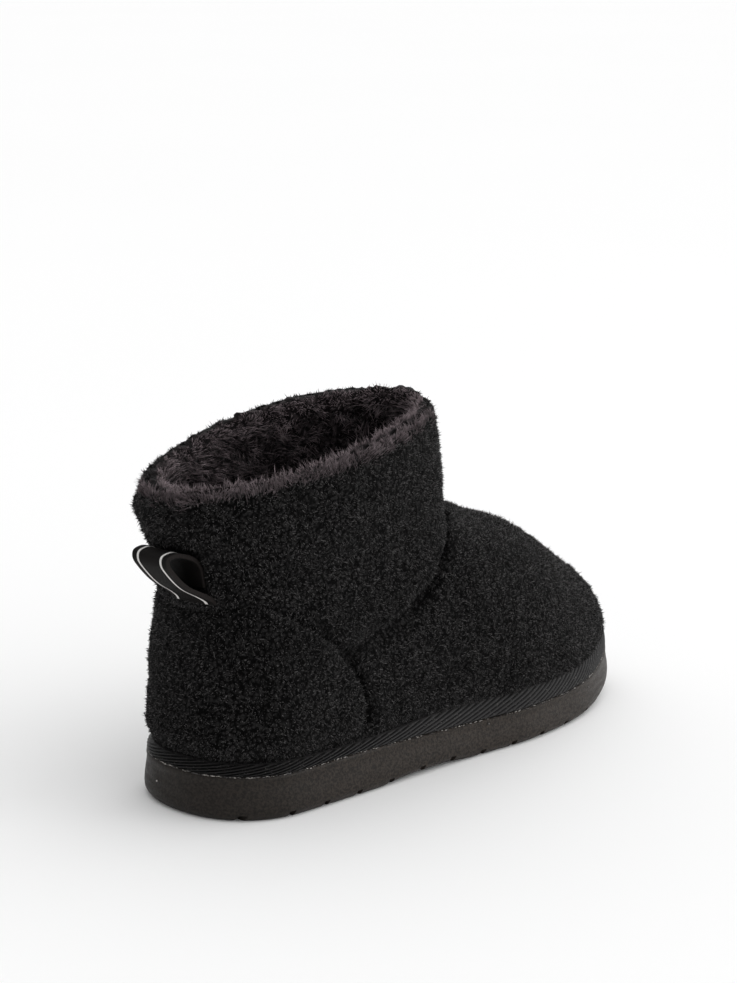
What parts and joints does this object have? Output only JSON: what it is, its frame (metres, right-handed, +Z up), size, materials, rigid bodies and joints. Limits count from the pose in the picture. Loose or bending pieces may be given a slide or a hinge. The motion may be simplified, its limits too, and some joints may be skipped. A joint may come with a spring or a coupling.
{
  "type": "sherpa boot",
  "caption": "Black sherpa fleece ankle boot for a right foot, with a pile lining, a heel pull loop, a ribbed band and a thick foam sole.",
  "frame": {"origin": "middle of the boot's own box, on the floor under the sole", "axes": "+X to the toe, +Z up, +Y to the inner side of a right foot"},
  "size_m": [0.2764, 0.0944, 0.1552],
  "materials": {
    "black_fleece": "matte",
    "dark_pile": "matte",
    "ribbed_rubber": "matte",
    "foam_rubber": "matte",
    "woven_tape": "satin"
  },
  "bodies": {
    "root": {"outsole": "foam_rubber", "welt_band": "ribbed_rubber", "upper": "black_fleece", "insole": "dark_pile", "pull_loop": "woven_tape"}
  },
  "joints": []
}
